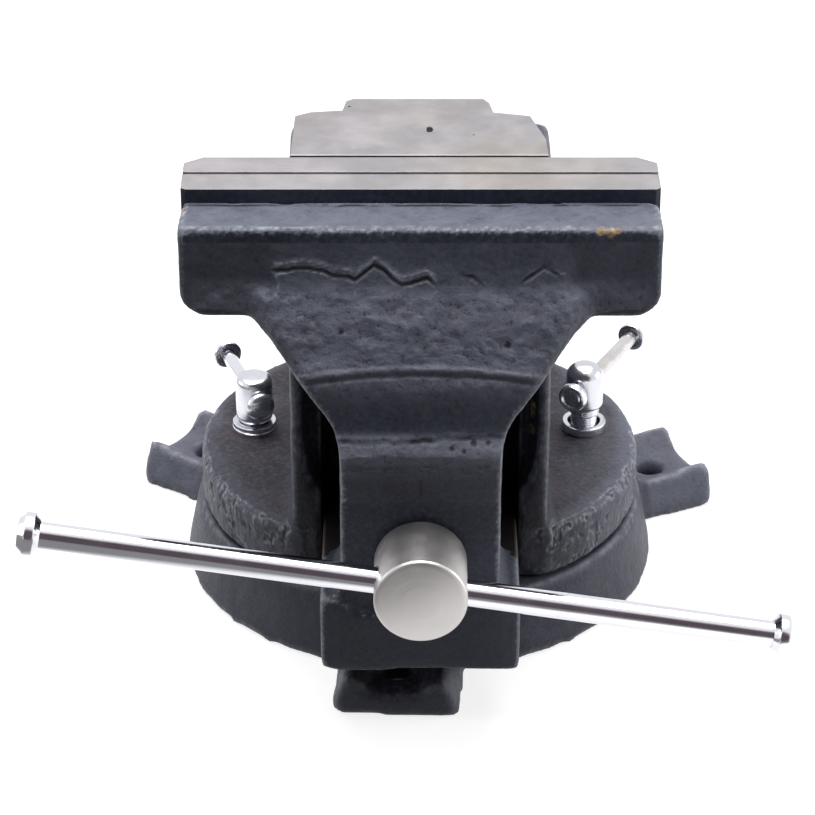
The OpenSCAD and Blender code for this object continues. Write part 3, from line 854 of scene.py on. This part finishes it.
    # painted highlight: the ridge is pale only where its surface faces upward
    pale = 0.75 * neck_sand * front_face + 1.0 * ridge_sand * ease(no[:, 2], -0.35, 0.15)
    pale = np.where(shelf, 0.62, pale)
    pale += 0.12 * ease(z, 200, 160) * front_face
    # painted shade on the screw panel below the ridge: it loses most of its paleness and is dimmed at the
    # paint_marks call below
    low_part = ease(z, 126, 118)
    pale = pale * (1 - 0.8 * low_part)
    # painted light on the right end of the block below the ridge; the jaw head band is simply paler
    pale += 0.36 * ease(z, 186, 192) * (z < 221) + 0.25 * ease(x, 20, 36) * low_part
    marks = spread(me, np.maximum(cracks_and_shade, pits), 4)
    # painted shade: a dark uneven line in the crevice where the shelf meets the jaw plate
    seam = ease(np.abs(co[:, 1] - PLATE_FRONT + 2.9), 1.0, 0.4) * (z > 219)
    seam = seam * ease(fbm(co, 12, 3, 91), -0.25, 0.1)
    cracks_and_shade = np.maximum(cracks_and_shade, 0.9 * seam * (no[:, 2] > 0.3))
    paint_marks(ob, 1.1 * (1 - 0.75 * sandy) * (1 - 0.8 * ease(marks, 0.05, 0.3)), pale, 0.0,
                np.maximum(0.35, sandy), np.where(shelf, 0.15, 0.0), cracks_and_shade, chip,
                0.3 * low_part * (ax < 35), 1 - 0.6 * sandy)
    # behind the block the casting is pulled inside the machined slide bar
    co = get_co(me)
    bar = (co[:, 1] > -111) & (co[:, 2] < 67)
    for k, a, b in ((0, -41.4, 41.4), (1, -200.0, hi[1] - 1.6), (2, 40.2, 62.8)):
        co[:, k] = np.where(bar, np.clip(co[:, k], a, b), co[:, k])
    set_co(me, co)
    shade(ob)
    finish_piece(ob, "moving_jaw", "black_iron", IRON, "movable_jaw")


def make_slide():
    """Machined slide bar, its own crisp piece behind the cast block."""
    end = node_box("movable_jaw")[1][1]
    front, top, bottom, half = -116.0, 64.4, 38.6, 42.8
    bm = bmesh.new()
    bmesh.ops.create_cube(bm, size=1)
    for v in bm.verts:
        corner = (half if v.co.x > 0 else -half, end if v.co.y > 0 else front, top if v.co.z > 0 else bottom)
        v.co = Vector(corner) / MM
    me = bpy.data.meshes.new("slide_bar")
    bm.to_mesh(me)
    bm.free()
    ob = new_object("slide_bar", me)
    bevel(ob, 1.6, 3)
    shade(ob, 40)
    finish_piece(ob, "moving_jaw", "machined_steel", RAIL)


# ---------------- jaw plates and anvil

def grip(name, y_face, out, z0, z1, half):
    """A toothed jaw face: diamond teeth on the face, flat behind; `out` is the way it faces along Y."""
    pitch, deep, step = 3.2, 0.75, 0.5
    xs = np.arange(-half, half + 0.01, step)
    zs = np.arange(z0, z1 + 0.01, step)
    X, Z = np.meshgrid(xs, zs)
    a, b = (X + Z) / pitch, (X - Z) / pitch
    ramp_a, ramp_b = (np.abs((t % 1.0) - 0.5) * 2 for t in (a, b))
    h = deep * np.clip(np.minimum(ramp_a, ramp_b) * 1.6, 0, 1)
    back = y_face - out * 2.6
    n, k = X.shape
    front = np.stack([X, y_face - out * (deep - h), Z], 2).reshape(-1, 3)
    rear = np.stack([X, np.full_like(X, back), Z], 2).reshape(-1, 3)
    verts = np.concatenate([front, rear])
    at = np.arange(n * k).reshape(n, k)
    corners = zip(at[:-1, :-1].flat, at[:-1, 1:].flat, at[1:, 1:].flat, at[1:, :-1].flat)
    faces = list(corners)
    border = [*at[0], *at[1:, -1], *at[-1, -2::-1], *at[-2:0:-1, 0]]
    faces.append(tuple(v + n * k for v in reversed(border)))
    faces += [(b, a, a + n * k, b + n * k) for a, b in zip(border, border[1:] + border[:1])]
    return face_out(new_mesh(name, verts, faces))


def make_plate(node, name, body, out):
    """Jaw plate with a toothed face and two screw pockets; `out` is the way it faces along Y."""
    lo, hi = node_box(node)
    face = lo[1] if out < 0 else hi[1]
    ob = cad_copy(node, name)
    co = get_co(ob.data)
    co[:, 1] = np.where(np.abs(co[:, 1] - face) < 0.01, face - out * 1.0, co[:, 1])
    set_co(ob.data, co)
    bevel(ob, 0.7, 2)
    teeth = grip("teeth", face, out, lo[2] + 0.6, hi[2] - 0.9, hi[0] - 0.8)
    for x in (-60, 60):
        boolean(teeth, revolve("tool", [(0, -6), (8.6, -6), (8.6, 6), (0, 6)],
                               np.array([x, face, 216.0]), (0, 1, 0), 48))
    ob = join(name, [ob, teeth])
    shade(ob, 35)
    finish_piece(ob, body, "machined_steel", STEEL, node)
    # the paint of the castings runs over the back and the ends of the plate
    ob.data.materials.append(IRON)
    for p in ob.data.polygons:
        away = p.normal.y * out < -0.35 and abs(p.center.y * MM - face) > 5
        painted = (away or abs(p.normal.x) > 0.8) and p.normal.z < 0.8 and p.area > 1e-9
        p.material_index = 1 if painted else 0


def make_anvil():
    """Bare pad: bevelled, with a sloped left edge and a few dents."""
    ob = cad_copy("anvil_block", "anvil_pad")
    top = ANVIL_HI[2]
    wedge = prism("tool", [(0, 0), (4.2, 0), (0, -4.6)], -60, 60)
    place = Matrix.Translation(Vector((ANVIL_LO[0] - 0.6, -45, top + 0.3)) / MM)
    wedge.matrix_world = place @ Matrix.Rotation(math.radians(90), 4, "X")
    bpy.context.view_layer.update()
    boolean(ob, wedge)
    bevel(ob, 0.45, 3)
    dents = ((4.0, -40.0, 1.5), (4.2, -38.4, 1.7), (4.0, -36.8, 1.5), (-31, -14, 0.8), (23, -44, 0.6))
    for x, y, r in dents:
        boolean(ob, revolve("tool", [(0, -r)] + arc(0, 0, r, -60, 60, 6) + [(0, r)],
                            np.array([x, y, top + r * 0.35]), (0, 0, 1), 18))
    co = get_co(ob.data)
    pit = np.zeros(len(co))
    for x, y, r in dents:
        near = np.hypot(co[:, 0] - x, co[:, 1] - y) < r * 1.02
        pit = np.maximum(pit, near * (co[:, 2] < top - 0.08) * (co[:, 2] > top - 3))
    put(ob.data, "pit", pit)
    shade(ob, 30)
    return finish_piece(ob, "vise", "machined_steel", STEEL, "anvil_block")


# ---------------- screw

def make_screw():
    """Screw with a slightly domed round head, a cross hole and a 6 mm thread."""
    at = np.array([0.0, 0.0, SCREW_Z])
    front = -HEAD_LO[1]
    r = (HEAD_HI[0] - HEAD_LO[0]) / 2
    back = 149.9
    dome = [(r * t, front - 1.5 * t * t) for t in (0, 0.15, 0.3, 0.45, 0.6, 0.72, 0.82, 0.9)]
    prof = dome + arc(r - 1.7, front - 3.1, 1.7, 72, 0, 6) + [(r, front - 10), (r, back + 1.2)] \
        + arc(r - 1.2, back + 1.2, 1.2, 0, -90, 4) + [(13.0, back), (13.0, 70)]
    # the thread goes on from the plain shank as one surface, so the head stops inside it
    head = revolve("spindle_head", prof + [(12.4, 69.4), (0, 69.4)], at, (0, -1, 0), 128)
    tool = revolve("tool", [(0, -40), (6.05, -40), (6.05, 40), (0, 40)], HOLE_AT, HANDLE_DIR, 64)
    boolean(head, tool)
    pin_at = np.array([0, -76.0, SCREW_Z])
    boolean(head, revolve("tool", [(0, -25), (2.6, -25), (2.6, 25), (0, 25)], pin_at, (0, 0, 1), 32))
    end = HEAD_HI[1]
    seg, step = 72, 0.75
    ys = np.arange(-70.5, end + 0.01, step)
    lead, deep = 6.0, 2.2
    T = np.arange(seg) * 2 * math.pi / seg
    Y, A = np.meshgrid(ys, T, indexing="ij")
    phase = (Y / lead + A / (2 * math.pi)) % 1.0
    flank = np.clip((np.abs(phase - 0.5) - 0.14) / 0.12, 0, 1)
    rad = 13.0 - deep * (1 - flank)
    fade = ease(Y, -70.5, -66) * ease(Y, end, end - 4)
    rad = 12.2 + (rad - 12.2) * fade - 1.6 * ease(Y, end - 2.5, end)
    rad = np.minimum(rad, 13.0)
    verts = np.stack([rad * np.cos(A), Y, SCREW_Z + rad * np.sin(A)], 2).reshape(-1, 3)
    n = len(ys)
    faces = [(i * seg + k, i * seg + (k + 1) % seg, (i + 1) * seg + (k + 1) % seg, (i + 1) * seg + k)
             for i in range(n - 1) for k in range(seg)]
    faces += [tuple(range(seg))[::-1], tuple((n - 1) * seg + k for k in range(seg))]
    thread = face_out(new_mesh("spindle_thread", verts, faces))
    shade(head, 35)
    shade(thread, 40)
    finish_piece(head, "screw_set", "nickel", NICKEL, "main_screw")
    finish_piece(thread, "screw_set", "nickel", DARK_NICKEL)


def make_handle():
    """Sliding bar with a turned cap on each end."""
    d = HANDLE_DIR
    # the bar isn't centred in the screw head
    mid = HOLE_AT - d * 5.0
    length, r = 329, 5.75
    half = length / 2
    rod = [(0, -half + 2), (r - 0.4, -half + 2), (r, -half + 2.5)]
    rod += [(r, -half + 2.5 + (length - 5) * k / 40) for k in range(1, 40)]
    rod += [(r, half - 2.5), (r - 0.4, half - 2), (0, half - 2)]
    bar = revolve("handle_rod", rod, mid, d, 48)
    shade(bar, 35)
    finish_piece(bar, "handle", "chrome", CHROME, "handle_bar")
    R, ln = 9.2, 9.4
    # a turned cap: flat end, cone, drum, cone and a small flare on to the bar
    prof = [(0, half), (5.6, half), (6.3, half - 0.25), (R - 0.9, half - 2.3), (R - 0.25, half - 2.9),
            (R, half - 3.6), (R, half - 6.4), (R - 0.25, half - 7.0), (R - 0.9, half - 7.4),
            (6.9, half - ln + 0.5), (6.4, half - ln), (5.85, half - ln), (5.85, half - ln + 1),
            (0, half - ln + 1)]
    for side, tag in ((-1, "left"), (1, "right")):
        cap = revolve("handle_end_" + tag, prof, mid, d * side, 64)
        shade(cap, 24)
        finish_piece(cap, "handle", "chrome", CHROME, "handle_cap_" + tag)


# ---------------- lock bolts

def make_lock_bolt(tag, at, d):
    """Lock bolt with a cross hole; the left head is flat topped, the right one domed on a bare thread."""
    foot, r = -13.6, 8.6
    if tag == "left":
        prof = [(0, 11.8), (3, 11.7), (5.6, 11.4), (6.9, 11.0), (7.7, 10.4), (8.3, 9.4), (r, 8.0)]
        prof += [(r, foot + 5.2), (8.3, foot + 3.6), (7.4, foot + 2.4), (7.0, foot + 2.0), (7.0, foot)]
    else:
        prof = [(0, 11.8), (2.5, 11.65), (4.6, 11.1), (6.3, 10.1), (7.6, 8.7), (8.35, 7.2), (r, 5.6)]
        prof += [(r, foot + 5.2), (8.2, foot + 4.0), (7.0, foot + 3.3)]
        prof += [(7.0 - 0.4 * (k % 2), foot + 2.8 - 0.55 * k) for k in range(6)] + [(6.0, foot - 0.4)]
    prof += [(6.0 - 0.45 * (k % 2), foot - 1 - 0.6 * k) for k in range(14)]
    prof += [(6.0, foot - 9.6), (6.0, foot - 48), (5.2, foot - 49), (0, foot - 49)]
    bolt = revolve("bolt_" + tag, prof, at, (0, 0, 1), 72)
    boolean(bolt, revolve("tool", [(0, -15), (3.5, -15), (3.5, 15), (0, 15)], at, d, 48))
    shade(bolt, 30)
    finish_piece(bolt, tag + "_lock", "chrome", ZINC, "lock_bolt_" + tag)


def make_lock_washer(tag, at):
    """The left washer is a stack of two, the right one a single thick ring."""
    lo, hi = node_box("lock_washer_" + tag)
    z0, z1 = lo[2], hi[2]
    ri, ro = 7.4, 10.4
    if tag == "left":
        mid = (z0 + z1) / 2
        ring = [(ri, z0), (ro - 0.4, z0), (ro, z0 + 0.35), (ro, mid - 0.45), (ro - 0.45, mid - 0.1),
                (ro - 0.9, mid), (ro - 0.45, mid + 0.1), (ro - 0.2, mid + 0.4), (ro - 0.2, z1 - 0.4),
                (ro - 0.6, z1), (ri, z1), (ri, z0)]
    else:
        ring = [(ri, z0), (ro - 0.4, z0), (ro, z0 + 0.5), (ro, z1 - 0.8), (ro - 0.25, z1 - 0.25),
                (ro - 0.8, z1), (ri + 0.9, z1), (ri + 0.3, z1 - 0.3), (ri, z1 - 0.9), (ri, z0)]
    washer = revolve("washer_" + tag, ring, np.array([at[0], at[1], 0.0]), (0, 0, 1), 72)
    shade(washer, 30)
    finish_piece(washer, "vise", "chrome", ZINC, "lock_washer_" + tag)


def make_lock_bar(tag, at, d):
    """Cross bar of a lock bolt with a turned knob on each end."""
    length, near = (61.0, 13.5) if tag == "left" else (73.0, 15.5)
    far = length - near
    r = 3.4
    rod = [(0, -near + 0.4)] + [(r, -near + 0.4 + (length - 0.8) * k / 12) for k in range(13)]
    bar = revolve("lock_rod_" + tag, rod + [(0, far - 0.4)], at, d, 40)
    shade(bar, 35)
    handle = tag + "_lock_handle"
    finish_piece(bar, handle, "chrome", CHROME if tag == "left" else WORN_CHROME, "lock_bar_" + tag)
    rk, lk = 6.7, 4.6
    angles = [math.radians(a) for a in (8, 20, 32, 44, 56, 68, 80, 88)]
    domed = [(0, 0)] + [(rk * math.sin(a), (lk - 1.2) * (1 - math.cos(a))) for a in angles]
    domed += [(rk, lk - 0.9), (rk - 0.35, lk - 0.3), (rk - 0.9, lk), (4.6, lk), (4.2, lk - 0.7),
              (3.45, lk - 0.7), (3.45, lk - 2), (0, lk - 2)]
    ringed = [(0, 0.5), (3.7, 0.5), (3.95, 0.75), (4.2, 0.9), (4.4, 0.5), (4.9, 0.1), (5.5, 0.0),
              (6.2, 0.3), (6.6, 1.0), (rk, 1.9), (rk, lk - 1.0), (6.4, lk - 0.4), (5.8, lk), (4.4, lk),
              (3.45, lk - 0.5), (3.45, lk - 2), (0, lk - 2)]
    near_end = domed if tag == "left" else ringed
    for end, prof, origin, way in (("near", near_end, -near, 1), ("far", domed, far, -1)):
        knob = revolve(f"knob_{tag}_{end}", prof, at + d * origin, d * way, 56)
        shade(knob, 30)
        finish_piece(knob, handle, "chrome", ZINC, f"lock_knob_{tag}_{end}")


def make_locks():
    for tag in ("left", "right"):
        at = np.array(JOINTS[tag + "_lock_turn"]["pos_m"]) * MM
        d = np.array(JOINTS[tag + "_lock_bar_slide"]["axis"], float)
        make_lock_bolt(tag, at, d)
        make_lock_washer(tag, at)
        make_lock_bar(tag, at, d)


# ---------------- small hidden parts

def make_small():
    """Screws, nuts and the other small parts: their CAD shape with eased edges."""
    dark = ("fixed_plate_screw_left", "fixed_plate_screw_right", "moving_plate_screw_left",
            "moving_plate_screw_right", "nut_keeper", "nut_keeper_screw_left", "nut_keeper_screw_right",
            "pivot_bolt", "pivot_washer", "lock_nut_left", "lock_nut_right", "disc_spring", "screw_collar")
    plan = [(node, DARK, "dark_steel") for node in dark]
    plan += [("collar_pin", CHROME, "chrome"), ("main_nut", BRONZE, "bronze")]
    for node, material, slot in plan:
        ob = cad_copy(node, "real_" + node)
        bevel(ob, 0.5, 2)
        shade(ob, 35)
        finish_piece(ob, NODES[node]["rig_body"], slot, material, node)


make_base()
make_body()
make_jaw()
make_slide()
make_plate("fixed_jaw_plate", "fixed_grip_plate", "vise", -1)
make_plate("moving_jaw_plate", "moving_grip_plate", "moving_jaw", 1)
make_anvil()
make_screw()
make_handle()
make_locks()
make_small()


# ---------------- studio

def make_floor():
    """Pale floor that also glows a little, with painted shade inside the bench holes."""
    half = 30.0 * MM
    corners = [(x * half, y * half, -0.2) for x, y in ((-1, -1), (1, -1), (1, 1), (-1, 1))]
    ob = new_mesh("floor", corners, [(0, 1, 2, 3)])
    m = Nodes("floor_paint")
    split = m.add("ShaderNodeSeparateXYZ")
    m.put(split.inputs[0], m.tex)
    # reflections of the floor get dimmer to the front left of the vise
    glossy = m.add("ShaderNodeLightPath").outputs["Is Glossy Ray"]
    away = m.span(m.math("ADD", split.outputs["Y"], split.outputs["X"]), -0.24, -0.41)
    level = m.math("SUBTRACT", 1.0, m.math("MULTIPLY", m.math("MULTIPLY", glossy, away), 0.8))
    # painted shade: the floor is darkened inside the bench holes of the ears, where their shadow falls
    for a in EAR_ANGLES:
        t = math.radians(a + BASE_TURN)
        dx = m.math("SUBTRACT", split.outputs["X"], BOLT_R / MM * math.cos(t))
        dy = m.math("SUBTRACT", split.outputs["Y"], BOLT_R / MM * math.sin(t))
        d = m.math("SQRT", m.math("ADD", m.math("MULTIPLY", dx, dx), m.math("MULTIPLY", dy, dy)))
        level = m.math("MULTIPLY", level, m.span(d, 0.013, 0.019, 0.03, 1.0))
    paint = m.mix(m.noise(3, 2), (0.35, 0.35, 0.355), (0.38, 0.38, 0.382))
    m.set(Base_Color=m.mix(level, (0.0, 0.0, 0.0), paint), Roughness=0.9,
          Emission_Strength=m.math("MULTIPLY", level, 0.80))
    m.bsdf.inputs["Specular IOR Level"].default_value = 0.1
    m.bsdf.inputs["Emission Color"].default_value = (1, 1, 1, 1)
    ob.data.materials.append(m.mat)
    ob.visible_diffuse = False


def make_world():
    """Pale room with one dark pinkish patch in front of the vise, seen only in reflections and fill."""
    w = bpy.data.worlds.new("studio")
    bpy.context.scene.world = w
    w.use_nodes = True
    g = Graph(w.node_tree)
    way = g.add("ShaderNodeTexCoord").outputs["Generated"]
    path = g.add("ShaderNodeLightPath")
    dot = g.add("ShaderNodeVectorMath")
    dot.operation = "DOT_PRODUCT"
    lift = math.radians(22)
    g.put(dot.inputs[0], way)
    g.put(dot.inputs[1], (0, -math.cos(lift), math.sin(lift)))
    outer, inner = math.cos(math.radians(38)), math.cos(math.radians(20))
    patch = g.span(dot.outputs["Value"], outer, inner, 1.0, 0.10)
    # below the horizon the room is dim, and the fill on matt surfaces is weaker than the reflections
    xyz = g.add("ShaderNodeSeparateXYZ")
    g.put(xyz.inputs[0], way)
    low = g.span(xyz.outputs["Z"], -0.06, 0.02, 0.10, 1.0, "LINEAR")
    fill = g.span(path.outputs["Is Diffuse Ray"], 0.0, 1.0, 1.0, 0.22, "LINEAR")
    value = g.math("MULTIPLY", g.math("MULTIPLY", patch, low), fill)
    # the camera itself sees a plain pale room
    seen = path.outputs["Is Camera Ray"]
    bg = g.add("ShaderNodeBackground")
    g.put(bg.inputs["Strength"], g.math("MAXIMUM", value, seen))
    tint = g.mix(g.math("MAXIMUM", patch, seen), (1.0, 0.76, 0.88), (0.975, 0.98, 1.0))
    g.put(bg.inputs["Color"], tint)
    g.put(g.add("ShaderNodeOutputWorld").inputs[0], bg.outputs[0])


def area(name, loc, target, size, power):
    light = bpy.data.lights.new(name, "AREA")
    light.shape = "RECTANGLE"
    light.size, light.size_y = size
    light.energy = power
    ob = new_object(name, light)
    ob.location = loc
    ob.rotation_euler = (Vector(target) - Vector(loc)).to_track_quat("-Z", "Y").to_euler()


def make_camera():
    data = bpy.data.cameras.new("camera")
    ob = new_object("camera", data)
    down = math.radians(29.06)
    ob.location = (-0.0055, -1.34169, 0.81985)
    ob.rotation_euler = (math.pi / 2 - down, 0, 0)
    data.sensor_width = 36.0
    data.lens = 145.767
    data.clip_start, data.clip_end = 0.05, 50
    bpy.context.scene.camera = ob


make_floor()
make_world()
area("overhead", (0.0, 0.15, 1.7), (0, 0, 0.1), (1.6, 1.5), 44)
area("left_side", (-1.5, 0.05, 0.45), (0, 0, 0.1), (0.8, 0.6), 3.5)
area("right_side", (1.5, 0.05, 0.45), (0, 0, 0.1), (0.8, 0.6), 8)
make_camera()
scene = bpy.context.scene
scene.view_settings.view_transform = "Standard"
scene.view_settings.look = "None"
